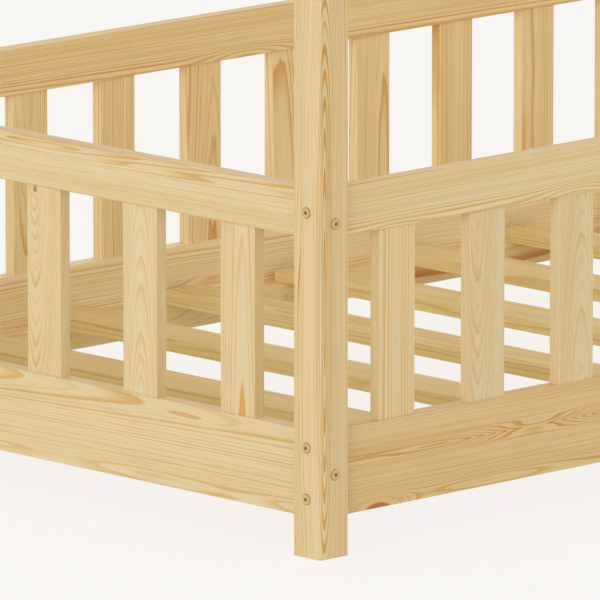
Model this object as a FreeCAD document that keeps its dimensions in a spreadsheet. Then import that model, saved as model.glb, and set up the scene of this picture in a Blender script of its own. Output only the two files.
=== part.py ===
import FreeCAD
import Part
import Sketcher
import os

# Toddler floor bed in pine with a house frame.
#
# Four square posts stand on the floor. Boards and guard rails butt against them, held by
# connector screws that run through the post into their end grain. Guard slats stand in mortises
# between board and rail, and the mattress slats lie on two ledgers. The posts carry a gable roof
# of four rafters, a ridge beam and two eaves beams.
#
# Frame: +X along the bed, +Y across it, +Z up, origin on the floor under the middle of the bed.
# The front is the side at -Y with the entry, the left end is the one at -X. Millimetres.

SIZES = {
    # the whole bed, over the posts
    "bed_length": 2080,
    "bed_width": 1000,
    # posts, and the square beams of the house frame
    "post_side": 45,
    "post_height": 1000,
    "beam_side": 45,
    "arris": 0.6,
    # boards round the mattress
    "board_high": 104,
    "board_thick": 21,
    "board_base": 46,
    # guard rails above them
    "rail_high": 59,
    "rail_thick": 21,
    "rail_base": 379,
    "rail_nose": 18,
    # front guard panels: from the post to the entry
    "panel_long": 699,
    "stile_wide": 59,
    "stile_thick": 21,
    # guard slats between board and rail; the first and last centres from the posts' outer faces
    "guard_wide": 58,
    "guard_thick": 16,
    "guard_arris": 0.5,
    "side_first": 140,
    "end_first": 177,
    "end_last": 155,
    # tenons of the guard slats and stiles
    "tenon_wide": 42,
    "tenon_thick": 8,
    "tenon_long": 12,
    "mortise_clear": 0.3,
    # ledgers and mattress slats
    "ledger_deep": 30,
    "ledger_high": 34,
    "ledger_base": 50,
    "slat_wide": 69,
    "slat_thick": 16,
    "slat_end_gap": 13,
    "slat_first_gap": 4,
    "slat_last_gap": 114,
    # house roof above the posts
    "roof_rise": 420,
    "rafter_deep": 45,
    "rafter_nose": 10,
    "ridge_drop": 19,
    # connector screws: flat head with a hexagon socket, six-sided core in place of the thread
    "screw_long": 100,
    "core_flats": 6,
    "passage_clear": 0.3,
    "thread_clear": 0.1,
    "tip_clear": 1,
    "head_wide": 13.6,
    "head_flat": 10.2,
    "head_high": 1.8,
    "socket_flats": 4,
    "socket_deep": 1.5,
    # their distance in from the posts' outer faces
    "screw_in": 23.7,
    # their heights above the floor, or below the top of the post
    "side_board_low": 70,
    "side_board_high": 131.5,
    "side_rail": 411.5,
    "end_board": 99.5,
    "end_rail": 398.5,
    "eaves_down": 15,
    "ridge_screws_apart": 23,
}

SLAT_COUNT = 10
BACK_GUARDS = 13
PANEL_GUARDS = 4
END_GUARDS = 5

# Edges count as lying along a direction or on a place within these.
ALONG = 0.999
NEAR = 0.01
# Least volume a pocket must take away.
LEAST_CUT = 1

# Lengths that follow from the sizes, as expressions for the document.
POST = "Sizes.post_side"
TOP = "Sizes.post_height"
HALF_LONG = "(Sizes.bed_length / 2)"
HALF_WIDE = "(Sizes.bed_width / 2)"
SIDE_SPAN = "(Sizes.bed_length - 2 * Sizes.post_side)"
END_SPAN = "(Sizes.bed_width - 2 * Sizes.post_side)"
SETBACK = "((Sizes.post_side - Sizes.board_thick) / 2)"
INSIDE_WIDE = f"(Sizes.bed_width - 2 * ({SETBACK} + Sizes.board_thick))"
BOARD_TOP = "(Sizes.board_base + Sizes.board_high)"
GUARD_HIGH = f"(Sizes.rail_base - {BOARD_TOP})"
LEDGER_TOP = "(Sizes.ledger_base + Sizes.ledger_high)"
CORE_WIDE = "(2 * Sizes.core_flats / sqrt(3))"
PASSAGE = f"({CORE_WIDE} + 2 * Sizes.passage_clear)"
PILOT_FLATS = "(Sizes.core_flats + 2 * Sizes.thread_clear)"
PILOT_DEEP = "(Sizes.screw_long - Sizes.post_side + Sizes.tip_clear)"

# The four sides of the bed. Each is seen from outside: its members start at one corner, run
# along the side, and have their outer face at the setback from the face of the posts.
# (turn about Z, direction along the side, direction inwards)
SIDES = {
    "front": (0, (1, 0), (0, 1)),
    "back": (180, (-1, 0), (0, -1)),
    "left": (-90, (0, -1), (1, 0)),
    "right": (90, (0, 1), (-1, 0)),
}

doc = FreeCAD.newDocument("toddler_floor_bed")
sheet = doc.addObject("Spreadsheet::Sheet", "Sizes")
for row, (alias, value) in enumerate(SIZES.items(), start=1):
    sheet.set(f"A{row}", alias)
    sheet.set(f"B{row}", str(value))
    sheet.setAlias(f"B{row}", alias)
doc.recompute()

nodes = []


def value_of(expression):
    """Number that an expression of the sheet has now."""
    return float(sheet.evalExpression(expression))


def upright(degrees):
    """Turn about Z."""
    return FreeCAD.Rotation(FreeCAD.Vector(0, 0, 1), degrees)


def new_body(label):
    body = doc.addObject("PartDesign::Body", label)
    body.Label = label
    return body


def origin_feature(body, role):
    return next(item for item in body.Origin.OriginFeatures if item.Role == role)


def new_sketch(body, plane, offset="0"):
    """Sketch on one of the body's own planes, moved along its normal by an offset."""
    sketch = body.newObject("Sketcher::SketchObject", f"{body.Label}_sketch")
    sketch.AttachmentSupport = [(origin_feature(body, plane), "")]
    sketch.MapMode = "FlatFace"
    if offset != "0":
        sketch.setExpression("AttachmentOffset.Base.z", offset)
    return sketch


def hold(sketch, name, constraint, expression):
    """Add a named constraint whose value follows an expression."""
    index = sketch.addConstraint(constraint)
    sketch.renameConstraint(index, name)
    sketch.setExpression(f"Constraints.{name}", expression)


def hold_point(sketch, geometry, point, axis, distance, name):
    """Keep a point at a distance from the sketch's origin along X or Y."""
    if distance == "0":
        other_axis = -2 if axis == "X" else -1
        sketch.addConstraint(Sketcher.Constraint("PointOnObject", geometry, point, other_axis))
        return
    kind = f"Distance{axis}"
    now = value_of(distance)
    hold(sketch, name, Sketcher.Constraint(kind, -1, 1, geometry, point, now), distance)


def add_outline(sketch, corners):
    """Closed outline of straight lines through the corners. Returns the number of its first line."""
    points = [FreeCAD.Vector(x, y, 0) for x, y in corners]
    count = len(points)
    first = sketch.GeometryCount
    for index in range(count):
        sketch.addGeometry(Part.LineSegment(points[index], points[(index + 1) % count]), False)
    for index in range(count):
        joint = Sketcher.Constraint("Coincident", first + index, 2, first + (index + 1) % count, 1)
        sketch.addConstraint(joint)
    return first


def add_rectangle(sketch, left, low, wide, high):
    """Rectangle with its lower left corner at (left, low)."""
    x, y = value_of(left), value_of(low)
    w, h = value_of(wide), value_of(high)
    first = add_outline(sketch, [(x, y), (x + w, y), (x + w, y + h), (x, y + h)])
    for index, kind in enumerate(("Horizontal", "Vertical", "Horizontal", "Vertical")):
        sketch.addConstraint(Sketcher.Constraint(kind, first + index))
    hold_point(sketch, first, 1, "X", left, f"left_{first}")
    hold_point(sketch, first, 1, "Y", low, f"low_{first}")
    hold(sketch, f"wide_{first}", Sketcher.Constraint("DistanceX", first, 1, first, 2, w), wide)
    hold(sketch, f"high_{first}", Sketcher.Constraint("DistanceY", first + 1, 1, first + 1, 2, h), high)


def add_circle(sketch, x, y, wide):
    """Circle of the given diameter with its centre at (x, y)."""
    centre = FreeCAD.Vector(value_of(x), value_of(y), 0)
    circle = Part.Circle(centre, FreeCAD.Vector(0, 0, 1), value_of(wide) / 2)
    geometry = sketch.addGeometry(circle, False)
    hold_point(sketch, geometry, 3, "X", x, f"x_{geometry}")
    hold_point(sketch, geometry, 3, "Y", y, f"y_{geometry}")
    hold(sketch, f"wide_{geometry}", Sketcher.Constraint("Diameter", geometry, value_of(wide)), wide)


def add_hexagon(sketch, x, y, flats):
    """Regular hexagon of the given width over its flats, as six chords of a circle round (x, y)."""
    centre = FreeCAD.Vector(value_of(x), value_of(y), 0)
    corner = value_of(flats) / 3 ** 0.5
    spokes = [upright(60 * step).multVec(FreeCAD.Vector(corner, 0, 0)) for step in range(6)]
    first = add_outline(sketch, [(centre.x + spoke.x, centre.y + spoke.y) for spoke in spokes])
    ring = sketch.addGeometry(Part.Circle(centre, FreeCAD.Vector(0, 0, 1), corner), True)
    for step in range(6):
        sketch.addConstraint(Sketcher.Constraint("PointOnObject", first + step, 1, ring))
    for step in range(5):
        sketch.addConstraint(Sketcher.Constraint("Equal", first + step, first + step + 1))
    sketch.addConstraint(Sketcher.Constraint("Horizontal", first + 1))
    hold_point(sketch, ring, 3, "X", x, f"x_{ring}")
    hold_point(sketch, ring, 3, "Y", y, f"y_{ring}")
    corners = f"2 * {flats} / sqrt(3)"
    hold(sketch, f"corners_{ring}", Sketcher.Constraint("Diameter", ring, 2 * corner), corners)


def add_pad(body, sketch, length):
    pad = body.newObject("PartDesign::Pad", f"{body.Label}_pad")
    pad.Profile = sketch
    pad.setExpression("Length", length)
    return pad


def add_pocket(body, sketch, depth=None, backwards=False):
    """Pocket of the given depth, or through the whole piece both ways where there is none."""
    pocket = body.newObject("PartDesign::Pocket", f"{body.Label}_pocket")
    pocket.Profile = sketch
    if depth is None:
        pocket.Type = "ThroughAll"
        pocket.Midplane = True
    else:
        pocket.Reversed = backwards
        pocket.setExpression("Length", depth)
    return pocket


def bevel_edges(body, direction, size):
    """Take the arris off the long edges that run along a direction."""
    doc.recompute()
    tip = body.Tip
    names = []
    for index, edge in enumerate(tip.Shape.Edges, start=1):
        run = edge.Vertexes[-1].Point - edge.Vertexes[0].Point
        if abs(run.dot(direction)) > ALONG * run.Length:
            names.append(f"Edge{index}")
    bevel = body.newObject("PartDesign::Chamfer", f"{body.Label}_arris")
    bevel.Base = (tip, names)
    bevel.setExpression("Size", size)


def timber(label, x, y, z, grain, arris="Sizes.arris"):
    """Planed timber with bevelled long edges, its corner at the origin and its grain along X or Z."""
    body = new_body(label)
    if grain == "X":
        sketch = new_sketch(body, "YZ_Plane")
        add_rectangle(sketch, "0", "0", y, z)
        add_pad(body, sketch, x)
        bevel_edges(body, FreeCAD.Vector(1, 0, 0), arris)
    else:
        sketch = new_sketch(body, "XY_Plane")
        add_rectangle(sketch, "0", "0", x, y)
        add_pad(body, sketch, z)
        bevel_edges(body, FreeCAD.Vector(0, 0, 1), arris)
    return body


def bore(body, plane, points, wide, depth=None, offset="0", backwards=False):
    """Round holes at the given points of a plane, all of one width and depth."""
    sketch = new_sketch(body, plane, offset)
    for x, y in points:
        add_circle(sketch, x, y, wide)
    add_pocket(body, sketch, depth, backwards)


def place(thing, x, y, z, turn):
    """Set a piece at its turn and tie its place to the sizes."""
    thing.Placement = FreeCAD.Placement(FreeCAD.Vector(), turn)
    thing.setExpression("Placement.Base.x", x)
    thing.setExpression("Placement.Base.y", y)
    thing.setExpression("Placement.Base.z", z)


def place_on_side(thing, side, along, inward, up):
    """Place a piece by its distance from the corner, from the posts' outer face and from the floor."""
    turn, run, inner = SIDES[side]
    x = f"({-run[0]} - {inner[0]}) * {HALF_LONG} + {run[0]} * ({along}) + {inner[0]} * ({inward})"
    y = f"({-run[1]} - {inner[1]}) * {HALF_WIDE} + {run[1]} * ({along}) + {inner[1]} * ({inward})"
    place(thing, x, y, up, upright(turn))


def keep(thing):
    nodes.append(thing)
    return thing


# Posts -----------------------------------------------------------------------------------------

SIDE_HEIGHTS = [
    "Sizes.side_board_low",
    "Sizes.side_board_high",
    "Sizes.side_rail",
    f"({TOP} - Sizes.eaves_down)",
]
END_HEIGHTS = [
    "Sizes.end_board",
    "Sizes.end_rail",
]


def make_post(label, right, back):
    """Corner post, bored both ways for the screws of the side's and the end's members."""
    body = timber(label, POST, POST, TOP, "Z")
    across = f"({POST} - Sizes.screw_in)" if back else "Sizes.screw_in"
    along = f"({POST} - Sizes.screw_in)" if right else "Sizes.screw_in"
    bore(body, "YZ_Plane", [(across, height) for height in SIDE_HEIGHTS], PASSAGE)
    bore(body, "XZ_Plane", [(along, height) for height in END_HEIGHTS], PASSAGE)
    x = f"{HALF_LONG} - {POST}" if right else f"-{HALF_LONG}"
    y = f"{HALF_WIDE} - {POST}" if back else f"-{HALF_WIDE}"
    place(body, x, y, "0 mm", upright(0))
    return keep(body)


for end, right in (("left", False), ("right", True)):
    make_post(f"post_front_{end}", right, False)
    make_post(f"post_back_{end}", right, True)


# Boards, rails and beams -----------------------------------------------------------------------


def bore_end(body, length, thick, heights, start):
    """Pilot bores for screws in the end grain of a member, at its start or at its far end."""
    sketch = new_sketch(body, "YZ_Plane", "0" if start else length)
    inward = f"(Sizes.screw_in - ({POST} - {thick}) / 2)"
    for height in heights:
        add_hexagon(sketch, inward, height, PILOT_FLATS)
    add_pocket(body, sketch, PILOT_DEEP, start)


def add_mortises(body, first, pitch, count, thick, high, from_top):
    """Row of mortises for the tenons of guard slats, in the top or the bottom edge."""
    wide = "(Sizes.tenon_wide + 2 * Sizes.mortise_clear)"
    narrow = "(Sizes.tenon_thick + 2 * Sizes.mortise_clear)"
    deep = "(Sizes.tenon_long + Sizes.mortise_clear)"
    sketch = new_sketch(body, "XY_Plane", high if from_top else "0")
    add_rectangle(sketch, f"({first} - {wide} / 2)", f"(({thick} - {narrow}) / 2)", wide, narrow)
    pocket = add_pocket(body, sketch, deep, not from_top)
    if count > 1:
        doc.recompute()
        pattern = body.newObject("PartDesign::LinearPattern", f"{body.Label}_row")
        pattern.Originals = [pocket]
        pattern.Direction = (origin_feature(body, "X_Axis"), [""])
        pattern.setExpression("Length", f"{pitch} * {count - 1}")
        pattern.Occurrences = count
        body.Tip = pattern


# Rows of guard slats: the first centre from the member's end, and the pitch that fills the row.
SIDE_FIRST = "(Sizes.side_first - Sizes.post_side)"
BACK_PITCH = f"((Sizes.bed_length - 2 * Sizes.side_first) / {BACK_GUARDS - 1})"
PANEL_PITCH = f"((Sizes.panel_long - Sizes.stile_wide - 2 * {SIDE_FIRST}) / {PANEL_GUARDS - 1})"
PANEL_LAST = f"(Sizes.panel_long - Sizes.stile_wide - {SIDE_FIRST})"
STILE_CENTRE = "(Sizes.panel_long - Sizes.stile_wide / 2)"
END_FIRST = "(Sizes.end_first - Sizes.post_side)"
END_PITCH = f"((Sizes.bed_width - Sizes.end_first - Sizes.end_last) / {END_GUARDS - 1})"


def make_board(side):
    """Board that holds the mattress in, with the mortises of the guard slats along its top."""
    on_end = side in ("left", "right")
    length = END_SPAN if on_end else SIDE_SPAN
    thick = "Sizes.board_thick"
    high = "Sizes.board_high"
    body = timber(f"board_{side}", length, thick, high, "X")
    heights = END_HEIGHTS[:1] if on_end else SIDE_HEIGHTS[:2]
    points = [f"({height} - Sizes.board_base)" for height in heights]
    for start in (True, False):
        bore_end(body, length, thick, points, start)
    if on_end:
        add_mortises(body, END_FIRST, END_PITCH, END_GUARDS, thick, high, True)
    elif side == "back":
        add_mortises(body, SIDE_FIRST, BACK_PITCH, BACK_GUARDS, thick, high, True)
    else:
        add_mortises(body, SIDE_FIRST, PANEL_PITCH, PANEL_GUARDS, thick, high, True)
        far_first = f"({length} - {PANEL_LAST})"
        add_mortises(body, far_first, PANEL_PITCH, PANEL_GUARDS, thick, high, True)
        stile_gap = f"({length} - 2 * {STILE_CENTRE})"
        add_mortises(body, STILE_CENTRE, stile_gap, 2, thick, high, True)
    place_on_side(body, side, POST, SETBACK, "Sizes.board_base")
    return keep(body)


def make_rail(side):
    """Guard rail from post to post, with the mortises of the guard slats along its bottom."""
    on_end = side in ("left", "right")
    length = END_SPAN if on_end else SIDE_SPAN
    thick = "Sizes.rail_thick"
    high = "Sizes.rail_high"
    body = timber(f"rail_{side}", length, thick, high, "X")
    height = END_HEIGHTS[1] if on_end else SIDE_HEIGHTS[2]
    for start in (True, False):
        bore_end(body, length, thick, [f"({height} - Sizes.rail_base)"], start)
    if on_end:
        add_mortises(body, END_FIRST, END_PITCH, END_GUARDS, thick, high, False)
    else:
        add_mortises(body, SIDE_FIRST, BACK_PITCH, BACK_GUARDS, thick, high, False)
    place_on_side(body, side, POST, f"(({POST} - {thick}) / 2)", "Sizes.rail_base")
    return keep(body)


def make_panel_rail(end):
    """Front guard rail from a post to the entry, with its free top corner rounded."""
    at_left = end == "left"
    length = "Sizes.panel_long"
    thick = "Sizes.rail_thick"
    high = "Sizes.rail_high"
    body = new_body(f"rail_front_{end}")
    sketch = new_sketch(body, "YZ_Plane")
    add_rectangle(sketch, "0", "0", thick, high)
    add_pad(body, sketch, length)
    doc.recompute()
    free_x = value_of(length) if at_left else 0
    top_z = value_of(high)
    corner = [f"Edge{index}" for index, edge in enumerate(body.Tip.Shape.Edges, start=1)
              if abs(edge.CenterOfMass.x - free_x) < NEAR and abs(edge.CenterOfMass.z - top_z) < NEAR]
    blank = body.Tip
    nose = body.newObject("PartDesign::Fillet", f"{body.Label}_nose")
    nose.Base = (blank, corner)
    nose.setExpression("Radius", "Sizes.rail_nose")
    bevel_edges(body, FreeCAD.Vector(1, 0, 0), "Sizes.arris")
    bore_end(body, length, thick, [f"({SIDE_HEIGHTS[2]} - Sizes.rail_base)"], at_left)
    first = SIDE_FIRST if at_left else f"({length} - {PANEL_LAST})"
    add_mortises(body, first, PANEL_PITCH, PANEL_GUARDS, thick, high, False)
    stile = STILE_CENTRE if at_left else f"({length} - {STILE_CENTRE})"
    add_mortises(body, stile, "0", 1, thick, high, False)
    along = POST if at_left else f"Sizes.bed_length - {POST} - {length}"
    place_on_side(body, "front", along, f"(({POST} - {thick}) / 2)", "Sizes.rail_base")
    return keep(body)


def make_eaves(side):
    """Square beam along a side, between the tops of two posts."""
    thick = "Sizes.beam_side"
    body = timber(f"eaves_{side}", SIDE_SPAN, thick, thick, "X")
    base = f"({TOP} - {thick})"
    for start in (True, False):
        bore_end(body, SIDE_SPAN, thick, [f"({SIDE_HEIGHTS[3]} - {base})"], start)
    place_on_side(body, side, POST, f"(({POST} - {thick}) / 2)", base)
    return keep(body)


for side in SIDES:
    make_board(side)
for side in ("back", "left", "right"):
    make_rail(side)
for end in ("left", "right"):
    make_panel_rail(end)
for side in ("front", "back"):
    make_eaves(side)


# Guard slats and stiles ------------------------------------------------------------------------


def make_guard(label, side, centre, wide, thick):
    """Upright with a tenon at each end, standing between board and rail."""
    body = timber(label, wide, thick, GUARD_HIGH, "Z", "Sizes.guard_arris")
    sketch = new_sketch(body, "XY_Plane", "-Sizes.tenon_long")
    add_rectangle(sketch, f"(({wide} - Sizes.tenon_wide) / 2)", f"(({thick} - Sizes.tenon_thick) / 2)",
                  "Sizes.tenon_wide", "Sizes.tenon_thick")
    add_pad(body, sketch, f"({GUARD_HIGH} + 2 * Sizes.tenon_long)")
    inward = f"({SETBACK} + (Sizes.board_thick - {thick}) / 2)"
    place_on_side(body, side, f"({centre} - {wide} / 2)", inward, BOARD_TOP)
    return body


def guard_row(label, side, first, pitch, count):
    """Row of guard slats, numbered along the side."""
    for index in range(count):
        centre = f"({first} + {index} * {pitch})"
        yield make_guard(f"{label}_{index + 1}", side, centre, "Sizes.guard_wide", "Sizes.guard_thick")


FAR_PANEL_FIRST = f"(Sizes.bed_length - {POST} - {PANEL_LAST})"
for end, first in (("left", "Sizes.side_first"), ("right", FAR_PANEL_FIRST)):
    for guard in guard_row(f"guard_slat_front_{end}", "front", first, PANEL_PITCH, PANEL_GUARDS):
        keep(guard)
for side in ("left", "right"):
    for guard in guard_row(f"guard_slat_{side}", side, "Sizes.end_first", END_PITCH, END_GUARDS):
        keep(guard)
back_row = list(guard_row("guard_slat_back", "back", "Sizes.side_first", BACK_PITCH, BACK_GUARDS))
back_guards = doc.addObject("Part::Compound", "guard_slats_back")
back_guards.Links = back_row
keep(back_guards)

for end in ("left", "right"):
    centre = f"({POST} + {STILE_CENTRE})"
    if end == "right":
        centre = f"(Sizes.bed_length - {centre})"
    keep(make_guard(f"stile_{end}", "front", centre, "Sizes.stile_wide", "Sizes.stile_thick"))


# Ledgers and mattress slats --------------------------------------------------------------------

LEDGER_INWARD = f"({SETBACK} + Sizes.board_thick)"
SLAT_LONG = f"({INSIDE_WIDE} - 2 * Sizes.slat_end_gap)"
SLAT_START = f"({SETBACK} + Sizes.board_thick + Sizes.slat_first_gap)"
SLAT_STOP = f"(Sizes.bed_length - {SETBACK} - Sizes.board_thick - Sizes.slat_last_gap)"
SLAT_PITCH = f"(({SLAT_STOP} - {SLAT_START} - Sizes.slat_wide) / {SLAT_COUNT - 1})"


def make_ledger(side):
    """Batten along the inside of a long board, which the mattress slats lie on."""
    body = timber(f"ledger_{side}", SIDE_SPAN, "Sizes.ledger_deep", "Sizes.ledger_high", "X")
    place_on_side(body, side, POST, LEDGER_INWARD, "Sizes.ledger_base")
    return keep(body)


def make_slat(index):
    """Mattress slat across the bed, lying on both ledgers."""
    body = timber(f"mattress_slat_{index + 1:02d}", SLAT_LONG, "Sizes.slat_wide", "Sizes.slat_thick", "X")
    x = f"{SLAT_START} + {index} * {SLAT_PITCH} + Sizes.slat_wide - {HALF_LONG}"
    place(body, x, f"-{SLAT_LONG} / 2", LEDGER_TOP, upright(90))
    return keep(body)


for side in ("front", "back"):
    make_ledger(side)
for index in range(SLAT_COUNT):
    make_slat(index)


# Roof ------------------------------------------------------------------------------------------

RIDGE_MIDDLE = "(Sizes.roof_rise - Sizes.ridge_drop - Sizes.beam_side / 2)"


def make_rafter(label, right, back):
    """Rafter cut level at its foot and plumb at the ridge, where it meets its pair."""
    body = new_body(label)
    sketch = new_sketch(body, "YZ_Plane")
    reach = value_of(HALF_WIDE)
    rise = value_of("Sizes.roof_rise")
    nose = value_of("Sizes.rafter_nose")
    deep = value_of("Sizes.rafter_deep")
    slope = ((rise - nose) ** 2 + reach ** 2) ** 0.5
    plumb = deep * slope / reach
    level = (deep * slope - nose * reach) / (rise - nose)
    add_outline(sketch, [(0, 0), (0, nose), (reach, rise), (reach, rise - plumb), (level, 0)])
    sketch.addConstraint(Sketcher.Constraint("Coincident", 0, 1, -1, 1))
    sketch.addConstraint(Sketcher.Constraint("Vertical", 0))
    sketch.addConstraint(Sketcher.Constraint("Vertical", 2))
    sketch.addConstraint(Sketcher.Constraint("Horizontal", 4))
    sketch.addConstraint(Sketcher.Constraint("Parallel", 1, 3))
    hold(sketch, "nose", Sketcher.Constraint("DistanceY", 0, 1, 0, 2, nose), "Sizes.rafter_nose")
    hold(sketch, "reach", Sketcher.Constraint("DistanceX", -1, 1, 1, 2, reach), HALF_WIDE)
    hold(sketch, "rise", Sketcher.Constraint("DistanceY", -1, 1, 1, 2, rise), "Sizes.roof_rise")
    hold(sketch, "deep", Sketcher.Constraint("Distance", 3, 1, 1, deep), "Sizes.rafter_deep")
    add_pad(body, sketch, POST)
    slope_run = FreeCAD.Vector(0, reach, rise - nose)
    bevel_edges(body, slope_run.normalize(), "Sizes.arris")
    screw_y = f"({HALF_WIDE} - Sizes.ridge_screws_apart / 2)"
    bore(body, "YZ_Plane", [(screw_y, RIDGE_MIDDLE)], PASSAGE)
    turn = 180 if back else 0
    x = f"{HALF_LONG} - {POST}" if right else f"-{HALF_LONG}"
    if back:
        x = f"{x} + {POST}"
    place(body, x, HALF_WIDE if back else f"-{HALF_WIDE}", TOP, upright(turn))
    return keep(body)


for end, right in (("left", False), ("right", True)):
    make_rafter(f"rafter_front_{end}", right, False)
    make_rafter(f"rafter_back_{end}", right, True)


def make_ridge():
    """Ridge beam between the gables, with two screws into each end."""
    thick = "Sizes.beam_side"
    body = timber("ridge_beam", SIDE_SPAN, thick, thick, "X")
    middle = f"({thick} / 2)"
    near = f"(({thick} - Sizes.ridge_screws_apart) / 2)"
    far = f"(({thick} + Sizes.ridge_screws_apart) / 2)"
    for start in (True, False):
        sketch = new_sketch(body, "YZ_Plane", "0" if start else SIDE_SPAN)
        for across in (near, far):
            add_hexagon(sketch, across, middle, PILOT_FLATS)
        add_pocket(body, sketch, PILOT_DEEP, start)
    place(body, f"-{SIDE_SPAN} / 2", f"-{thick} / 2", f"{TOP} + {RIDGE_MIDDLE} - {middle}", upright(0))
    return keep(body)


make_ridge()


# Connector screws ------------------------------------------------------------------------------

# Turns that send a screw's own +X, the way it is driven, in towards the bed.
TO_RIGHT = upright(0)
TO_LEFT = upright(180)
TO_BACK = upright(90)
TO_FRONT = upright(-90)


def make_screw():
    """Connector screw along +X: bevelled flat head with a hexagon socket, and its core."""
    body = new_body("screw")
    outline = new_sketch(body, "XY_Plane")
    head = value_of("Sizes.head_high")
    flat = value_of("Sizes.head_flat") / 2
    rim = value_of("Sizes.head_wide") / 2
    add_outline(outline, [(-head, 0), (-head, flat), (0, rim), (0, 0)])
    outline.addConstraint(Sketcher.Constraint("Coincident", 3, 1, -1, 1))
    outline.addConstraint(Sketcher.Constraint("Horizontal", 3))
    outline.addConstraint(Sketcher.Constraint("Vertical", 0))
    outline.addConstraint(Sketcher.Constraint("Vertical", 2))
    hold(outline, "head", Sketcher.Constraint("DistanceX", 0, 1, -1, 1, head), "Sizes.head_high")
    hold(outline, "flat", Sketcher.Constraint("DistanceY", 0, 1, 0, 2, flat), "Sizes.head_flat / 2")
    hold(outline, "rim", Sketcher.Constraint("DistanceY", -1, 1, 2, 1, rim), "Sizes.head_wide / 2")
    turned = body.newObject("PartDesign::Revolution", "screw_head")
    turned.Profile = outline
    turned.ReferenceAxis = (outline, ["H_Axis"])
    turned.Angle = 360
    core = new_sketch(body, "YZ_Plane")
    add_hexagon(core, "0", "0", "Sizes.core_flats")
    add_pad(body, core, "Sizes.screw_long")
    socket = new_sketch(body, "YZ_Plane", "-Sizes.head_high")
    add_hexagon(socket, "0", "0", "Sizes.socket_flats")
    add_pocket(body, socket, "Sizes.socket_deep", True)
    return body


def corner_places():
    """Places of the screws through the posts, each on its post's outer face."""
    middle_x = f"({HALF_LONG} - Sizes.screw_in)"
    middle_y = f"({HALF_WIDE} - Sizes.screw_in)"
    for x_sign, along in ((-1, TO_RIGHT), (1, TO_LEFT)):
        for y_sign, across in ((-1, TO_BACK), (1, TO_FRONT)):
            for height in SIDE_HEIGHTS:
                yield f"{x_sign} * {HALF_LONG}", f"{y_sign} * {middle_y}", height, along
            for height in END_HEIGHTS:
                yield f"{x_sign} * {middle_x}", f"{y_sign} * {HALF_WIDE}", height, across


def ridge_places():
    """Places of the screws through the rafters into the ridge beam."""
    for x_sign, along in ((-1, TO_RIGHT), (1, TO_LEFT)):
        for y_sign in (-1, 1):
            y = f"{y_sign} * Sizes.ridge_screws_apart / 2"
            yield f"{x_sign} * {HALF_LONG}", y, f"{TOP} + {RIDGE_MIDDLE}", along


def make_screws():
    """All the connector screws as one node: a linked copy of the screw at each place."""
    screw = make_screw()
    links = []
    for index, (x, y, z, turn) in enumerate([*corner_places(), *ridge_places()], start=1):
        link = doc.addObject("App::Link", f"screw_{index}")
        link.LinkedObject = screw
        place(link, x, y, z, turn)
        links.append(link)
    group = doc.addObject("Part::Compound", "connector_screws")
    group.Links = links
    return keep(group)


make_screws()


# Checks and files ------------------------------------------------------------------------------

doc.recompute()

for thing in doc.Objects:
    if "Invalid" in thing.State or "Error" in thing.State:
        raise RuntimeError(f"{thing.Label} failed: {thing.State}")
    if thing.TypeId == "PartDesign::Pocket":
        removed = thing.BaseFeature.Shape.Volume - thing.Shape.Volume
        if removed < LEAST_CUT:
            raise RuntimeError(f"{thing.Label} cuts nothing")

os.makedirs("parts", exist_ok=True)
for node in nodes:
    shape = node.Shape
    if shape.isNull() or not shape.isValid():
        raise RuntimeError(f"{node.Label} has no valid shape")
for node in nodes:
    node.Shape.exportStep(f"parts/{node.Label}.step")
print(f"{len(nodes)} nodes written")
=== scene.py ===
import math
import random

import bpy
import numpy as np
from mathutils import Euler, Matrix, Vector


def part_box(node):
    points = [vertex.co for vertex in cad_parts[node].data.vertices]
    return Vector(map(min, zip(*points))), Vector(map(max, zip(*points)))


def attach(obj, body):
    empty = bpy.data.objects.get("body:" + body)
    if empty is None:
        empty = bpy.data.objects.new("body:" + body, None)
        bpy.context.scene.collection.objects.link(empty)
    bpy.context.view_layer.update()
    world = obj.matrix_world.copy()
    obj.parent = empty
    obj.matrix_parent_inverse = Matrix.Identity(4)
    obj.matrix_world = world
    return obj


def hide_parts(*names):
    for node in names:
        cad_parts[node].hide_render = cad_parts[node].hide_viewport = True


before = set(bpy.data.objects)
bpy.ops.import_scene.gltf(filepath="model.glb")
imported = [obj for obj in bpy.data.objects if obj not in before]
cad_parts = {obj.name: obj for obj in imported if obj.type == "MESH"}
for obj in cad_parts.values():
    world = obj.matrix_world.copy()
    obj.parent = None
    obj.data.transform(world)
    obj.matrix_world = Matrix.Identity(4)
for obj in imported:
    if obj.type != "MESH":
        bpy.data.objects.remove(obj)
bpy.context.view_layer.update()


# Small tools -----------------------------------------------------------------------------------


def colour(red, green, blue):
    """Linear colour of a swatch given as it looks, from 0 to 255."""
    swatch = np.array([red, green, blue]) / 255
    low = swatch / 12.92
    high = ((swatch + 0.055) / 1.055) ** 2.4
    return (*np.where(swatch > 0.04045, high, low).tolist(), 1)


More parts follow.
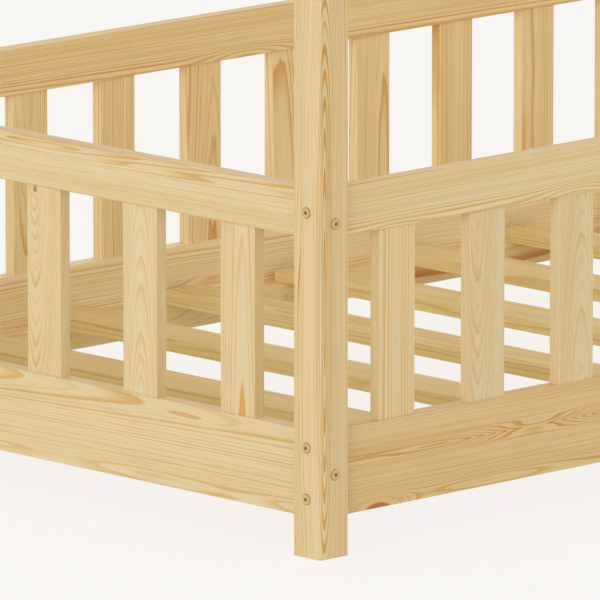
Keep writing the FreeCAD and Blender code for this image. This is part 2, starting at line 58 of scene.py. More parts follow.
class Bench:
    """A node tree with short ways to lay down nodes and join them."""

    def __init__(self, tree):
        self.tree = tree

    def node(self, kind, inputs=(), **settings):
        """A node with its settings and its inputs, each a value or another node's output."""
        made = self.tree.nodes.new(kind)
        for name, value in settings.items():
            setattr(made, name, value)
        pairs = inputs.items() if isinstance(inputs, dict) else enumerate(inputs)
        for name, value in pairs:
            self.feed(made.inputs[name], value)
        return made

    def feed(self, socket, value):
        if isinstance(value, bpy.types.NodeSocket):
            self.tree.links.new(value, socket)
        elif value is not None:
            socket.default_value = value

    def math(self, operation, *inputs, clamp=False):
        return self.node("ShaderNodeMath", inputs, operation=operation, use_clamp=clamp).outputs[0]

    def vector(self, operation, *inputs):
        made = self.node("ShaderNodeVectorMath", inputs, operation=operation)
        single = operation in ("DOT_PRODUCT", "LENGTH")
        return made.outputs["Value" if single else "Vector"]

    def scale(self, vector, by):
        made = self.node("ShaderNodeVectorMath", (vector,), operation="SCALE")
        self.feed(made.inputs["Scale"], by)
        return made.outputs["Vector"]

    def group(self, tree, inputs):
        return self.node("ShaderNodeGroup", inputs, node_tree=tree).outputs

    def ramp(self, value, low, high, start=0.0, end=1.0):
        """Smooth rise from start to end while the value goes from low to high."""
        inputs = {"Value": value, "From Min": low, "From Max": high, "To Min": start, "To Max": end}
        return self.node("ShaderNodeMapRange", inputs, interpolation_type="SMOOTHSTEP").outputs[0]

    def mix(self, factor, first, second, blend="MIX"):
        """Mix of two colours."""
        made = self.node("ShaderNodeMix", data_type="RGBA", blend_type=blend)
        self.feed(made.inputs["Factor"], factor)
        self.feed(made.inputs[6], first)
        self.feed(made.inputs[7], second)
        return made.outputs[2]

    def noise(self, vector, scale, detail=2.0, roughness=0.5, **settings):
        inputs = {"Scale": scale, "Detail": detail, "Roughness": roughness}
        made = self.node("ShaderNodeTexNoise", inputs, **settings)
        key = "W" if settings.get("noise_dimensions") == "1D" else "Vector"
        self.feed(made.inputs[key], vector)
        return made


def new_material(name):
    material = bpy.data.materials.new(name)
    material.use_nodes = True
    material.node_tree.nodes.clear()
    return material, Bench(material.node_tree)


def new_group(name, vectors, numbers, results):
    """Node group with the named vector and number inputs, and number outputs."""
    tree = bpy.data.node_groups.new(name, "ShaderNodeTree")
    for key in vectors:
        tree.interface.new_socket(key, in_out="INPUT", socket_type="NodeSocketVector")
    for key in numbers:
        tree.interface.new_socket(key, in_out="INPUT", socket_type="NodeSocketFloat")
    for key in results:
        tree.interface.new_socket(key, in_out="OUTPUT", socket_type="NodeSocketFloat")
    return tree


def finish_material(material, bench, shader):
    output = bench.node("ShaderNodeOutputMaterial")
    bench.tree.links.new(shader.outputs[0], output.inputs["Surface"])
    return material


def dress(thing, material):
    """Give a piece one material on all its faces."""
    if not thing.material_slots:
        thing.data.materials.append(material)
    for slot in thing.material_slots:
        slot.link = "OBJECT"
        slot.material = material


# Pine ------------------------------------------------------------------------------------------

# How the sawn faces look: pale spring wood, the orange lines of late wood, and knots.
SPRING_WOOD = colour(231, 215, 178)
SPRING_WARM = colour(229, 207, 162)
LATE_WOOD = colour(219, 176, 92)
LATE_DEEP = colour(209, 152, 64)
KNOT_WOOD = colour(178, 108, 52)
END_WOOD = colour(208, 174, 124)
# How much of the knot's and the end grain's colour shows, and where a knot's edge turns dark.
KNOT_SHARE = 0.85
KNOT_EDGE = 0.55
END_SHARE = 0.55


# How often the wood varies in a metre: across the log twice, and along it.
WOBBLE_WAY = (34, 34, 3.2)
RIPPLE_WAY = (150, 150, 11)
TONE_WAY = (26, 26, 1.1)
FIBRE_WAY = (560, 560, 7)
BEND_WAY = 2.6
YEARS_WAY = 45
# How far the rings wobble and ripple, in metres, and how many rings wide years add.
WOBBLE_DEEP = 0.006
RIPPLE_DEEP = 0.0009
YEARS_DEEP = 5.0
# Share of a year at which its late wood is darkest.
LATE_PEAK = 0.9


def ring_group():
    """Growth rings of a log along Z with its pith at X = Y = 0, lengths in metres.

    The ring number is the distance from the pith over the ring's width, plus slow bends of the
    log, small wobbles, and the swell that knots and burls add. Within a ring the tone rises slowly
    to the late wood and falls off sharply. Each ring has a strength of its own.
    """
    vectors = ("Place", "Bow", "Face")
    numbers = ("Seed", "Ring", "Swell", "Bend", "Wobble")
    tree = new_group("pine_rings", vectors, numbers, ("Late", "Tone", "Fibre"))
    b = Bench(tree)
    given = b.node("NodeGroupInput").outputs
    place, seed, shake = given["Place"], given["Seed"], given["Wobble"]
    apart = b.scale((1.7, 3.1, 5.3), seed)
    height = b.node("ShaderNodeSeparateXYZ", (place,)).outputs["Z"]

    # the bow of the log, and slow bends along its length
    bow = b.scale(given["Bow"], b.math("MULTIPLY", height, height))
    run = b.math("MULTIPLY_ADD", height, BEND_WAY, seed)
    bend = b.noise(run, 1.0, 1.0, noise_dimensions="1D").outputs["Color"]
    bend = b.scale(b.vector("SUBTRACT", bend, (0.5, 0.5, 0.5)), given["Bend"])
    bent = b.vector("ADD", b.vector("SUBTRACT", place, bow), bend)
    bent = b.vector("MULTIPLY", bent, (1, 1, 0))

    # wobbles of the rings themselves, long along the log
    long_way = b.vector("ADD", b.vector("MULTIPLY", place, WOBBLE_WAY), apart)
    wobble = b.noise(long_way, 1.0, 2.0).outputs["Fac"]
    fine_way = b.vector("ADD", b.vector("MULTIPLY", place, RIPPLE_WAY), apart)
    ripple = b.noise(fine_way, 1.0, 1.0).outputs["Fac"]
    wobble = b.math("MULTIPLY", b.math("SUBTRACT", wobble, 0.5), WOBBLE_DEEP)
    ripple = b.math("MULTIPLY", b.math("SUBTRACT", ripple, 0.5), RIPPLE_DEEP)
    radius = b.math("MULTIPLY_ADD", b.math("ADD", wobble, ripple), shake, b.vector("LENGTH", bent))

    # ring number, with wide and narrow years
    run = b.math("MULTIPLY_ADD", radius, YEARS_WAY, seed)
    years = b.noise(run, 1.0, 1.0, noise_dimensions="1D").outputs["Fac"]
    years = b.math("MULTIPLY", b.math("SUBTRACT", years, 0.5), YEARS_DEEP)
    number = b.math("MULTIPLY_ADD", years, shake, b.math("DIVIDE", radius, given["Ring"]))
    number = b.math("ADD", number, given["Swell"])

    # one year: the late wood starts sooner and grows darker in a strong one
    year = b.math("FLOOR", number)
    phase = b.math("FRACT", number)
    luck = b.math("ADD", year, seed)
    luck = b.node("ShaderNodeTexWhiteNoise", {"W": luck}, noise_dimensions="1D").outputs["Value"]
    rise = b.ramp(phase, b.math("MULTIPLY_ADD", luck, -0.45, 0.7), LATE_PEAK)
    fall = b.ramp(phase, LATE_PEAK, 1.0, 1.0, 0.0)
    late = b.math("MULTIPLY", b.math("MULTIPLY", rise, fall), b.ramp(luck, 0.1, 1.0, 0.35, 1.0))

    # a face that lies flat to the rings shows them stronger than one cut across them
    flat = b.vector("DOT_PRODUCT", given["Face"], b.vector("NORMALIZE", bent))
    late = b.math("MULTIPLY", late, b.ramp(b.math("ABSOLUTE", flat), 0.3, 0.95, 0.85, 1.2))

    # broad tones and fine fibres along the log
    broad_way = b.vector("ADD", b.vector("MULTIPLY", place, TONE_WAY), apart)
    tone = b.ramp(b.noise(broad_way, 1.0, 2.0).outputs["Fac"], 0.32, 0.7)
    fibre_way = b.vector("ADD", b.vector("MULTIPLY", place, FIBRE_WAY), apart)
    fibre = b.noise(fibre_way, 1.0, 3.0, 0.6).outputs["Fac"]

    b.node("NodeGroupOutput", {"Late": late, "Tone": tone, "Fibre": fibre})
    return tree


def swell_group():
    """One knot or burl: amount times exp(-q), where q is the squared distance over its reach."""
    tree = new_group("pine_swell", ("Place", "Centre", "Reach"), ("Amount",), ("Swell", "Near"))
    b = Bench(tree)
    given = b.node("NodeGroupInput").outputs
    away = b.vector("DIVIDE", b.vector("SUBTRACT", given["Place"], given["Centre"]), given["Reach"])
    near = b.math("EXPONENT", b.math("MULTIPLY", b.vector("DOT_PRODUCT", away, away), -1.0))
    b.node("NodeGroupOutput", {"Swell": b.math("MULTIPLY", near, given["Amount"]), "Near": near})
    return tree


RINGS = ring_group()
SWELL = swell_group()


# How far the piths of a row's logs spread and lean, and how far their seeds are apart.
ROW_AWAY = (0.05, 0.11, 0)
ROW_LEAN = (0.03, 0.12, 0)
ROW_SEEDS = 7.3
ROW_DRAWS = 17.0


def log_of_row(b, place, seed, row):
    """Place in the log of each timber of a row along X: every one was sawn from another log."""
    start, pitch, middle = row
    x = b.node("ShaderNodeSeparateXYZ", (place,)).outputs["X"]
    count = b.math("FLOOR", b.math("DIVIDE", b.math("SUBTRACT", x, start), pitch))
    centre = b.math("MULTIPLY_ADD", b.math("ADD", count, 0.5), pitch, start)
    centre = b.node("ShaderNodeCombineXYZ", (centre, middle.y, middle.z)).outputs[0]
    local = b.vector("SUBTRACT", place, centre)
    height = b.node("ShaderNodeSeparateXYZ", (local,)).outputs["Z"]
    draws = []
    for turn in range(2):
        draw = b.math("ADD", count, seed + ROW_DRAWS * turn)
        draw = b.node("ShaderNodeTexWhiteNoise", {"W": draw}, noise_dimensions="1D").outputs["Color"]
        draws.append(b.vector("SUBTRACT", draw, (0.5, 0.5, 0.5)))
    away = b.vector("MULTIPLY", draws[0], ROW_AWAY)
    lean = b.scale(b.vector("MULTIPLY", draws[1], ROW_LEAN), height)
    log = b.vector("ADD", local, b.vector("ADD", away, lean))
    return log, b.math("MULTIPLY_ADD", count, ROW_SEEDS, seed)


def pine(name, look):
    """Pine sawn from a log whose pith goes through a point in a direction, beside the timber or in it.

    Where a face lies flat to the rings it cuts arches, and elsewhere lines.
    """
    material, b = new_material(f"pine_{name}")
    place = b.node("ShaderNodeTexCoord").outputs["Object"]
    along = Vector(look["along"]).normalized()
    turn = along.rotation_difference(Vector((0, 0, 1))).to_matrix()
    if "row" in look:
        log, seed = log_of_row(b, place, look["seed"], look["row"])
    else:
        shift = -(turn @ Vector(look["through"]))
        settings = {"Vector": place, "Location": shift, "Rotation": turn.to_euler()}
        log, seed = b.node("ShaderNodeMapping", settings).outputs[0], look["seed"]

    swell = look["start"]
    knots = []
    for centre, reach, amount, core in look["swells"]:
        one = b.group(SWELL, {"Place": place, "Centre": centre, "Reach": reach, "Amount": amount})
        swell = b.math("ADD", swell, one["Swell"])
        if core:
            knots.append(b.ramp(one["Near"], 1 - core, 1 - core * KNOT_EDGE))

    normal = b.node("ShaderNodeTexCoord").outputs["Normal"]
    settings = {"Vector": normal, "Rotation": turn.to_euler()}
    face = b.node("ShaderNodeMapping", settings, vector_type="NORMAL").outputs[0]
    rings = b.group(RINGS, {
        "Place": log, "Face": face, "Bow": turn @ Vector(look["bow"]), "Seed": seed,
        "Ring": look["ring"], "Swell": swell, "Bend": look["bend"], "Wobble": look["wobble"],
    })
    late, tone, fibre = (rings[key] for key in ("Late", "Tone", "Fibre"))

    # colour: spring wood by broad tone, late wood over it, then fibres
    spring, warm, line, deep = look["swatches"]
    pale, dark = b.mix(tone, spring, warm), b.mix(tone, line, deep)
    wood = b.mix(b.math("MULTIPLY", late, look["contrast"]), pale, dark)
    streak = b.ramp(fibre, 0.3, 0.72, 1.04, 0.94)
    streak = b.node("ShaderNodeCombineColor", (streak, streak, streak)).outputs[0]
    wood = b.mix(1.0, wood, streak, "MULTIPLY")
    for knot in knots:
        wood = b.mix(b.math("MULTIPLY", knot, KNOT_SHARE), wood, KNOT_WOOD)

    # end grain drinks the lacquer: darker and duller
    faces_end = b.math("ABSOLUTE", b.vector("DOT_PRODUCT", normal, tuple(along)))
    end = b.ramp(faces_end, 0.6, 0.9)
    wood = b.mix(b.math("MULTIPLY", end, END_SHARE), wood, END_WOOD)

    rough = b.math("MULTIPLY_ADD", late, -0.08, 0.5)
    rough = b.math("MULTIPLY_ADD", end, 0.2, rough)
    relief = b.math("MULTIPLY_ADD", late, 0.6, b.math("MULTIPLY", fibre, 0.5))
    bump = b.node("ShaderNodeBump", {"Height": relief, "Strength": 0.3, "Distance": 0.0001})
    shader = b.node("ShaderNodeBsdfPrincipled", {
        "Base Color": wood, "Roughness": rough, "Normal": bump.outputs[0],
        "Specular IOR Level": 0.3, "Coat Weight": 0.1, "Coat Roughness": 0.3,
    })
    return finish_material(material, b, shader)


# Swatches of a timber: spring wood in its pale and warm tones, then late wood likewise.
# The timbers at the back of the bed have paler spring wood and redder late wood than those at the front:
# partly their own tone, partly painted light and painted shade for where they stand.
BACK_LATE_PAINTED_SHADE = (colour(224, 168, 90), colour(211, 147, 70))
FRAME_PINE = (SPRING_WOOD, SPRING_WARM, LATE_WOOD, LATE_DEEP)
WARM_PINE = (colour(231, 209, 164), colour(228, 201, 149), LATE_WOOD, LATE_DEEP)
PALE_PINE = (colour(237, 221, 182), colour(235, 213, 166), LATE_WOOD, LATE_DEEP)
BACK_PINE_PAINTED_LIGHT_AND_SHADE = (colour(246, 226, 179), colour(242, 217, 163), *BACK_LATE_PAINTED_SHADE)
BOARD_BACK_PINE_PAINTED_LIGHT = (colour(251, 235, 196), colour(248, 228, 180), *BACK_LATE_PAINTED_SHADE)
SLAT_PINE = (colour(240, 220, 164), colour(233, 207, 143), colour(208, 173, 94), colour(209, 160, 82))

# Rings that keep a steady course, and those of the guard slats near the front left post.
STEADY = {"wobble": 0.15, "bend": 0}
SLENDER = {"wobble": 0.3, "bend": 0.002}

# The figure of the timbers round the front left post and of those across the bed, in metres.
# A swell is (centre, reach, rings added, share of it that is a dark knot).
FIGURES = {
    "post_front_left": {
        "through": (-1.0335, -0.5012, 0.31), "along": (0, 0, 1), "bow": (0, -0.115, 0),
        "ring": 0.0020, "seed": 30.083, "wobble": 0.12, "bend": 0, "contrast": 1.6,
        "swells": [((-1.040, -0.468, 0.38), (0.02, 0.006, 0.15), 3.2, 0)],
    },
    "board_front": STEADY | {
        "through": (-0.8, -0.487, 0.108), "along": (1, 0, -0.0035),
        "ring": 0.0015, "seed": 16.667, "contrast": 1.25, "swatches": WARM_PINE,
        "swells": [
            ((-0.8, -0.488, 0.036), (0.8, 0.03, 0.022), -17.0, 0),
            ((-0.934, -0.488, 0.044), (0.04, 0.03, 0.016), 9.0, 0.3),
            ((-0.74, -0.488, 0.054), (0.12, 0.03, 0.0085), 2.4, 0),
            ((-0.96, -0.488, 0.108), (0.15, 0.03, 0.0042), 3.2, 0),
            ((-0.67, -0.488, 0.108), (0.105, 0.03, 0.009), 7.6, 0),
        ],
    },
    "board_left": STEADY | {
        "through": (-1.06825, -0.1, 0.1431), "along": (0.023, 1, 0.0031), "bow": (0.0251, 0, 0),
        "ring": 0.0025, "start": -15.860, "seed": 55.065, "contrast": 0.62,
        "swells": [
            ((-1.028, -0.27097, 0.13545), (0.03, 0.05161, 0.00583), -0.95, 0),
            ((-1.028, -0.15, 0.04), (0.03, 1.2, 0.021), -8.5, 0),
            ((-1.028, 0.095, 0.056), (0.03, 0.12, 0.008), 1.7, 0),
            ((-1.028, -0.19, 0.056), (0.03, 0.12, 0.008), 1.7, 0),
            ((-1.028, -0.47, 0.055), (0.03, 0.09, 0.008), 1.9, 0),
        ],
    },
    "rail_front_left": STEADY | {
        "through": (-0.8, -0.498, 0.47), "along": (1, 0, 0.004),
        "ring": 0.0022, "start": 0.520, "seed": 20.205, "contrast": 0.95, "swatches": PALE_PINE,
        "swells": [
            ((-0.8, -0.488, 0.372), (1.2, 0.03, 0.016), -6.5, 0),
            ((-0.605, -0.488, 0.38), (0.055, 0.03, 0.012), 2.0, 0),
            ((-0.905, -0.488, 0.379), (0.05, 0.03, 0.007), 0.9, 0),
        ],
    },
    "rail_left": STEADY | {
        "through": (-1.0322, -0.15, 0.4304), "along": (0.0298, 1, -0.0004), "bow": (0.0201, 0, 0),
        "ring": 0.0024, "start": -2.315, "seed": 30.433, "contrast": 0.7,
        "swells": [
            ((-1.028, -0.16409, 0.42836), (0.03, 0.40684, 0.00503), 1.9, 0),
            ((-1.028, -0.12693, 0.43742), (0.03, 0.27953, 0.00142), -1.4, 0),
        ],
    },
    "rail_back": STEADY | {
        "through": (-0.2, 0.457, 0.47), "along": (1, 0, -0.004),
        "ring": 0.0022, "start": 0.150, "seed": 20.205, "contrast": 0.95, "swatches": BACK_PINE_PAINTED_LIGHT_AND_SHADE,
        "swells": [
            ((-0.2, 0.467, 0.372), (1.6, 0.03, 0.016), -6.5, 0),
            ((-0.225, 0.467, 0.382), (0.07, 0.03, 0.013), 2.6, 0),
        ],
    },
    "board_back": {
        "through": (0, 0.425, 0.200), "along": (1, 0, -0.006),
        "ring": 0.0026, "bend": 0.014, "contrast": 0.7, "swatches": BOARD_BACK_PINE_PAINTED_LIGHT,
        "swells": [((-0.284, 0.467, 0.105), (0.060, 0.03, 0.010), 3.0, 0)],
    },
    "guard_slat_left_3": {
        "through": (-1.050, 0.004, 0.300), "along": (0.075, 0.010, 1),
        "ring": 0.0016, "bend": 0.002, "wobble": 0.4, "contrast": 0.45,
        "swells": [((-1.0255, 0.004, 0.374), (0.010, 0.006, 0.008), 4.0, 0.3)],
    },
    "guard_slat_left_4": SLENDER | {
        "through": (-1.055, -0.180, 0.265), "along": (-0.067, 0, 1), "ring": 0.0021, "contrast": 0.42,
    },
    "guard_slat_left_5": SLENDER | {
        "through": (-1.075, -0.352, 0.265), "along": (-0.012, 0.004, 1), "ring": 0.0022,
    },
    "guard_slat_front_left_1": {
        "through": (-0.935, -0.530, 0.265), "along": (0.006, 0, 1),
        "ring": 0.0023, "bend": 0.002, "wobble": 0.4, "contrast": 0.6, "swatches": PALE_PINE,
    },
    "guard_slat_front_left_2": SLENDER | {
        "through": (-0.767, -0.512, 0.265), "along": (0, 0.065, 1), "ring": 0.0022, "contrast": 0.42,
    },
    "guard_slat_front_left_3": SLENDER | {
        "through": (-0.592, -0.515, 0.265), "along": (0, -0.065, 1), "ring": 0.0021, "contrast": 0.42,
    },
    "guard_slats_back": {
        "row": (-0.975, 0.150, None), "ring": 0.0026, "bend": 0.004, "contrast": 0.7,
        "swatches": BACK_PINE_PAINTED_LIGHT_AND_SHADE,
    },
}
MATTRESS_SLATS = [f"mattress_slat_{number:02d}" for number in range(1, 11)]
for name in MATTRESS_SLATS:
    FIGURES[name] = {"swatches": SLAT_PINE, "contrast": 0.6, "bend": 0.006, "lean": 0.2}
# The ledgers take the back timbers' swatches, with their painted light and painted shade.
for name in ("ledger_front", "ledger_back"):
    FIGURES[name] = {"swatches": BACK_PINE_PAINTED_LIGHT_AND_SHADE}


# How far a timber's log leans at most, and how far from the timber's middle its pith lies at most.
LEAN = 0.03
PITH_AWAY = 0.05
# Height that the rafter's cut nose adds to its box.
RAFTER_NOSE = 0.01


def timber_look(name):
    """A timber's look: drawn from its own name, with what its figure says put over it."""
    low, high = (Vector(corner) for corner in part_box(name))
    size = high - low
    middle = (low + high) / 2
    figure = FIGURES.get(name, {})
    if name.startswith("rafter"):
        slope = Vector((0, size.y, size.z - RAFTER_NOSE))
        along = slope if "front" in name else Vector((0, -slope.y, slope.z))
    else:
        along = Vector([float(side == max(size)) for side in size])
        if name == "guard_slats_back":
            along = Vector((0, 0, 1))
    along.normalize()
    draw = random.Random(name)
    across = along.orthogonal().normalized()
    other = along.cross(across)
    angle = draw.uniform(0, 2 * math.pi)
    away = draw.uniform(0.3, 1.0) * PITH_AWAY
    lean = figure.get("lean", 1.0)
    look = {
        "through": middle + (across * math.cos(angle) + other * math.sin(angle)) * away,
        "along": along + (across * draw.uniform(-LEAN, LEAN) + other * draw.uniform(-LEAN, LEAN)) * lean,
        "bow": (0, 0, 0),
        "start": 0.0,
        "wobble": 1.0,
        "ring": draw.uniform(0.0020, 0.0032),
        "bend": draw.uniform(0.005, 0.018),
        "contrast": draw.uniform(0.75, 0.95),
        "seed": draw.uniform(0, 90),
        "swatches": FRAME_PINE,
        "swells": (),
    } | figure
    if "row" in look:
        look["row"] = (*look["row"][:2], middle)
    return look


for name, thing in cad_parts.items():
    if name != "connector_screws":
        dress(thing, pine(name, timber_look(name)))


# Metal -----------------------------------------------------------------------------------------


def yellow_zinc():
    """Yellow zinc plate: brassy and faintly clouded, rougher down in the crevices, where a painted brown
    shade darkens it the deeper they go.
    """
    material, b = new_material("yellow_zinc")
    place = b.node("ShaderNodeTexCoord").outputs["Object"]
    cloud = b.noise(place, 900.0, 2.0).outputs["Fac"]
    plate = b.mix(b.ramp(cloud, 0.3, 0.7), colour(224, 202, 146), colour(202, 174, 112))
    crevice_shade = b.node("ShaderNodeAttribute", attribute_name="crevice_shade").outputs["Fac"]
    # painted shade: the deeper a point lies below the head's top, the more its plate turns dark brown
    plate = b.mix(b.ramp(crevice_shade, 0.45, 1.0), plate, colour(140, 94, 46))
    rough = b.math("MULTIPLY_ADD", crevice_shade, 0.2, b.ramp(cloud, 0.25, 0.75, 0.3, 0.42))
    shader = b.node("ShaderNodeBsdfPrincipled", {"Base Color": plate, "Roughness": rough, "Metallic": 0.6})
    return finish_material(material, b, shader)


ZINC = yellow_zinc()
# Points round a screw, and how far below its top the painted brown shade in the crevices reaches full
# strength, in metres.
AROUND = 48
CREVICE_SHADE_DEPTH = 0.0016


def hexagon(angles, flats):
    """Distance from the middle to the side of a hexagon of the given width over its flats.

    Half the width over the cosine of the angle from the nearest flat's middle.
    """
    return flats / 2 / np.cos(angles % (math.pi / 3) - math.pi / 6)


def turned_rings(rings):
    """Rings of points round Z, each given as (radius at every angle, height).

    A point is at radius times cosine and radius times sine of its angle. Returns an array of rings.
    """
    angles = np.arange(AROUND) * 2 * math.pi / AROUND
    return np.stack([
        np.stack([radius * np.cos(angles), radius * np.sin(angles), np.full(AROUND, height)], axis=1)
        for radius, height in rings
    ])


def shell_of(rings):
    """Points and faces of a closed shell through rings of points, each end closed by one face."""
    count, around, _ = rings.shape
    step = np.arange(around)
    after = (step + 1) % around
    rows = np.arange(count - 1)[:, None] * around
    quads = np.stack([rows + step, rows + after, rows + around + after, rows + around + step], axis=2)
    faces = quads.reshape(-1, 4).tolist()
    faces.append((step[::-1]).tolist())
    faces.append((step + (count - 1) * around).tolist())
    return rings.reshape(-1, 3), faces


def connector_screw():
    """Flat head with a bevelled rim and a hexagon socket, and its core, standing along +Z.

    From the tip up: rings of the core, the head's underside, its rounded rim, the flat, and down
    into the socket.
    """
    angles = np.arange(AROUND) * 2 * math.pi / AROUND
    plain = [(0.6, -99.0), (2.6, -96.5), (3.0, -95.0), (3.0, -0.2), (6.8, -0.2), (6.8, 0.15), (6.7, 0.32),
             (5.45, 1.55), (5.3, 1.68), (5.05, 1.78), (2.6, 1.8)]
    socket = [(4.3, 1.8), (4.05, 1.68), (4.0, 1.5), (4.0, 0.45), (3.6, 0.35), (0.6, 0.15)]
    rings = [(np.full(AROUND, radius), height) for radius, height in plain]
    rings += [(hexagon(angles, flats), height) for flats, height in socket]
    return shell_of(turned_rings(rings) / 1000)


def wood_screw():
    """Low countersunk head with a cross recess, its rim just proud of the wood, standing along +Z.

    The recess's radius is a small circle plus four arms: the eighth power of cos(2 angle).
    """
    angles = np.arange(AROUND) * 2 * math.pi / AROUND
    arm = np.abs(np.cos(2 * angles)) ** 8
    cross = 0.55 + 1.35 * arm
    plain = [(0.6, -24.0), (1.5, -21.0), (1.5, -2.2), (3.4, -0.3), (3.5, 0.0), (3.45, 0.25),
             (3.2, 0.38), (2.3, 0.42)]
    recess = [(1.0, 0.4), (0.92, 0.1), (0.5, -0.9), (0.1, -1.0)]
    rings = [(np.full(AROUND, radius), height) for radius, height in plain]
    rings += [(cross * share, height) for share, height in recess]
    return shell_of(turned_rings(rings) / 1000)


def merged(shape, places, spins):
    """Copies of a shape at the given places, each turned so that its +Z points out of the wood."""
    points, faces = shape
    all_points = []
    all_faces = []
    for (place, out), spin in zip(places, spins):
        turn = Vector(out).to_track_quat("Z", "Y").to_matrix() @ Euler((0, 0, spin)).to_matrix()
        all_faces += [[index + len(all_points) * len(points) for index in face] for face in faces]
        all_points.append(points @ np.array(turn).T + np.array(place))
    return np.concatenate(all_points), all_faces


def add_metal(name, shape, places):
    """Screws of one shape as one piece, with how deep each point lies kept for the painted shade in the
    crevices.
    """
    draw = random.Random(name)
    spins = [draw.uniform(0, math.pi) for _ in places]
    points, faces = merged(shape, places, spins)
    mesh = bpy.data.meshes.new(name)
    mesh.from_pydata(points.tolist(), [], faces)
    # how deep below the head's top each point lies, as a share of the full depth of the painted shade
    heights = shape[0][:, 2]
    deep = np.clip((heights.max() - heights) / CREVICE_SHADE_DEPTH, 0, 1)
    mesh.attributes.new("crevice_shade", "FLOAT", "POINT").data.foreach_set("value", np.tile(deep, len(places)))
    mesh.shade_smooth()
    mesh.set_sharp_from_angle(angle=math.radians(32))
    piece = bpy.data.objects.new(name, mesh)
    bpy.context.collection.objects.link(piece)
    dress(piece, ZINC)
    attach(piece, "root")
    return piece


# Half the bed over its posts, and how far the screws sit in from the posts' outer faces.
HALF_LONG, HALF_WIDE = 1.040, 0.500
SCREW_IN = 0.0237
# Heights of the screws into the timbers along the bed and across it; place of the ridge's screws.
SIDE_SCREWS_UP = (0.070, 0.1315, 0.4115, 0.985)
END_SCREWS_UP = (0.0995, 0.3985)
RIDGE_SCREW_ASIDE, RIDGE_SCREW_UP = 0.0115, 1.3785
# Places of the wood screws, from the bed's middle and the floor.
SLAT_SCREW_ASIDE = 0.4455
LEDGER_SCREW_ASIDE, LEDGER_SCREW_UP = 0.437, 0.067
LEDGER_SCREWS_ALONG = np.linspace(-0.94, 0.94, 6)
RAFTER_SCREW = (1.0175, 0.470, 1.010 + 0.030 * 0.82)
RAFTER_OUT = Vector((0, 0.41, 0.5)).normalized()


def connector_places():
    """The screws through the posts, and those through the rafters at the ridge."""
    for x_sign in (-1, 1):
        for y_sign in (-1, 1):
            for height in SIDE_SCREWS_UP:
                yield (x_sign * HALF_LONG, y_sign * (HALF_WIDE - SCREW_IN), height), (x_sign, 0, 0)
            for height in END_SCREWS_UP:
                yield (x_sign * (HALF_LONG - SCREW_IN), y_sign * HALF_WIDE, height), (0, y_sign, 0)
            yield (x_sign * HALF_LONG, y_sign * RIDGE_SCREW_ASIDE, RIDGE_SCREW_UP), (x_sign, 0, 0)


def wood_screw_places():
    """One at each end of every mattress slat, a row in each ledger, and one in each rafter's foot."""
    for name in MATTRESS_SLATS:
        low, high = (Vector(corner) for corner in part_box(name))
        for y_sign in (-1, 1):
            yield ((low.x + high.x) / 2, y_sign * SLAT_SCREW_ASIDE, high.z), (0, 0, 1)
    for x in LEDGER_SCREWS_ALONG:
        for y_sign in (-1, 1):
            yield (x, y_sign * LEDGER_SCREW_ASIDE, LEDGER_SCREW_UP), (0, -y_sign, 0)
    x, y, z = RAFTER_SCREW
    for x_sign in (-1, 1):
        for y_sign in (-1, 1):
            yield (x_sign * x, y_sign * y, z), (0, y_sign * RAFTER_OUT.y, RAFTER_OUT.z)


screws = add_metal("connector_screws_turned", connector_screw(), list(connector_places()))
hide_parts("connector_screws")
add_metal("wood_screws", wood_screw(), list(wood_screw_places()))


# Stage -----------------------------------------------------------------------------------------

BACKDROP = colour(248, 247, 245)
# The floor's reach in metres, the share of it that shows as plain backdrop, and how bright that is.
FLOOR_REACH = 400.0
FLOOR_SHARE = 0.85
FLOOR_BRIGHT = 1.04
# Bright walls of the studio: compass side (0 from +X, 90 from +Y), height, narrowness, brightness.
WALLS = ((210, 14, 10.0, 2.72), (45, 12, 4.0, 0.7))
WALL_LIGHT = (0.990, 1.010, 1.050)
# Light from all round, and what the ceiling adds to it straight overhead.
EVEN_LIGHT = (0.656, 0.645, 0.607)
CEILING = (-0.06, -0.15, -0.26)
# Place of the camera, how far it looks down and round, in degrees, and its lens in millimetres.
CAMERA_PLACE = (-10.58838, -10.29189, 2.99517)
CAMERA_DOWN = 11.102
CAMERA_ROUND = 45.822
LENS = 717.35


def add_floor():
    """Large level floor under the bed, which shows a soft share of the bed's shadow."""
    mesh = bpy.data.meshes.new("floor")
    reach = FLOOR_REACH
    corners = [(-reach, -reach, 0), (reach, -reach, 0), (reach, reach, 0), (-reach, reach, 0)]
    mesh.from_pydata(corners, [], [(0, 1, 2, 3)])
    floor = bpy.data.objects.new("floor", mesh)
    bpy.context.collection.objects.link(floor)
    material, b = new_material("pale_floor")
    plain = b.node("ShaderNodeBsdfDiffuse", {"Color": BACKDROP})
    shown = b.node("ShaderNodeEmission", {"Color": BACKDROP, "Strength": FLOOR_BRIGHT})
    path = b.node("ShaderNodeLightPath").outputs
    seen = b.math("MAXIMUM", path["Is Camera Ray"], path["Is Glossy Ray"])
    inputs = (b.math("MULTIPLY", seen, FLOOR_SHARE), plain.outputs[0], shown.outputs[0])
    finish_material(material, b, b.node("ShaderNodeMixShader", inputs))
    dress(floor, material)


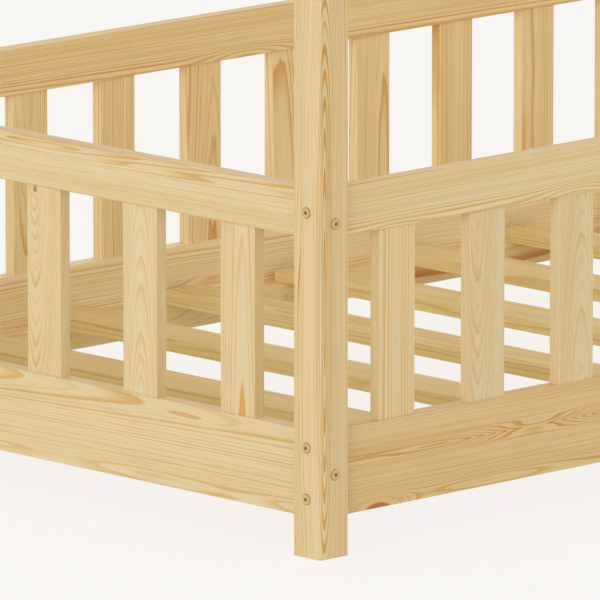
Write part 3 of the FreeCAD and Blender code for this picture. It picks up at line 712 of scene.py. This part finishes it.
def add_world():
    """Pale studio round the bed: an even light, a near wall and a far one, both bright and low.

    A wall's light is its brightness times a power of the cosine of the angle away from it.
    """
    world = bpy.data.worlds.new("studio")
    world.use_nodes = True
    world.node_tree.nodes.clear()
    b = Bench(world.node_tree)
    way = b.node("ShaderNodeTexCoord").outputs["Generated"]
    up = b.math("MAXIMUM", b.node("ShaderNodeSeparateXYZ", (way,)).outputs["Z"], 0.0)
    light = b.vector("ADD", EVEN_LIGHT, b.scale(CEILING, up))
    for azimuth, elevation, narrow, bright in WALLS:
        a, e = math.radians(azimuth), math.radians(elevation)
        towards = (math.cos(a) * math.cos(e), math.sin(a) * math.cos(e), math.sin(e))
        facing = b.math("MAXIMUM", b.vector("DOT_PRODUCT", way, towards), 0.0)
        share = b.math("MULTIPLY", b.math("POWER", facing, narrow), bright)
        light = b.vector("ADD", light, b.scale(WALL_LIGHT, share))
    light = b.node("ShaderNodeBackground", {"Color": light, "Strength": 1.0})
    backdrop = b.node("ShaderNodeBackground", {"Color": BACKDROP, "Strength": 1.0})
    path = b.node("ShaderNodeLightPath").outputs
    seen = b.math("MAXIMUM", path["Is Camera Ray"], path["Is Transmission Ray"])
    seen = b.math("MAXIMUM", seen, path["Is Glossy Ray"])
    mixed = b.node("ShaderNodeMixShader", (seen, light.outputs[0], backdrop.outputs[0]))
    output = b.node("ShaderNodeOutputWorld")
    b.tree.links.new(mixed.outputs[0], output.inputs["Surface"])
    bpy.context.scene.world = world


def add_camera():
    """Long lens far off the near corner, a little above it."""
    lens = bpy.data.cameras.new("camera")
    lens.sensor_width = 36.0
    lens.lens = LENS
    lens.clip_end = 1000.0
    camera = bpy.data.objects.new("camera", lens)
    camera.location = CAMERA_PLACE
    camera.rotation_euler = [math.radians(angle) for angle in (90 - CAMERA_DOWN, 0, CAMERA_ROUND - 90)]
    bpy.context.collection.objects.link(camera)
    bpy.context.scene.camera = camera


add_floor()
add_world()
add_camera()
bpy.context.scene.view_settings.view_transform = "Standard"
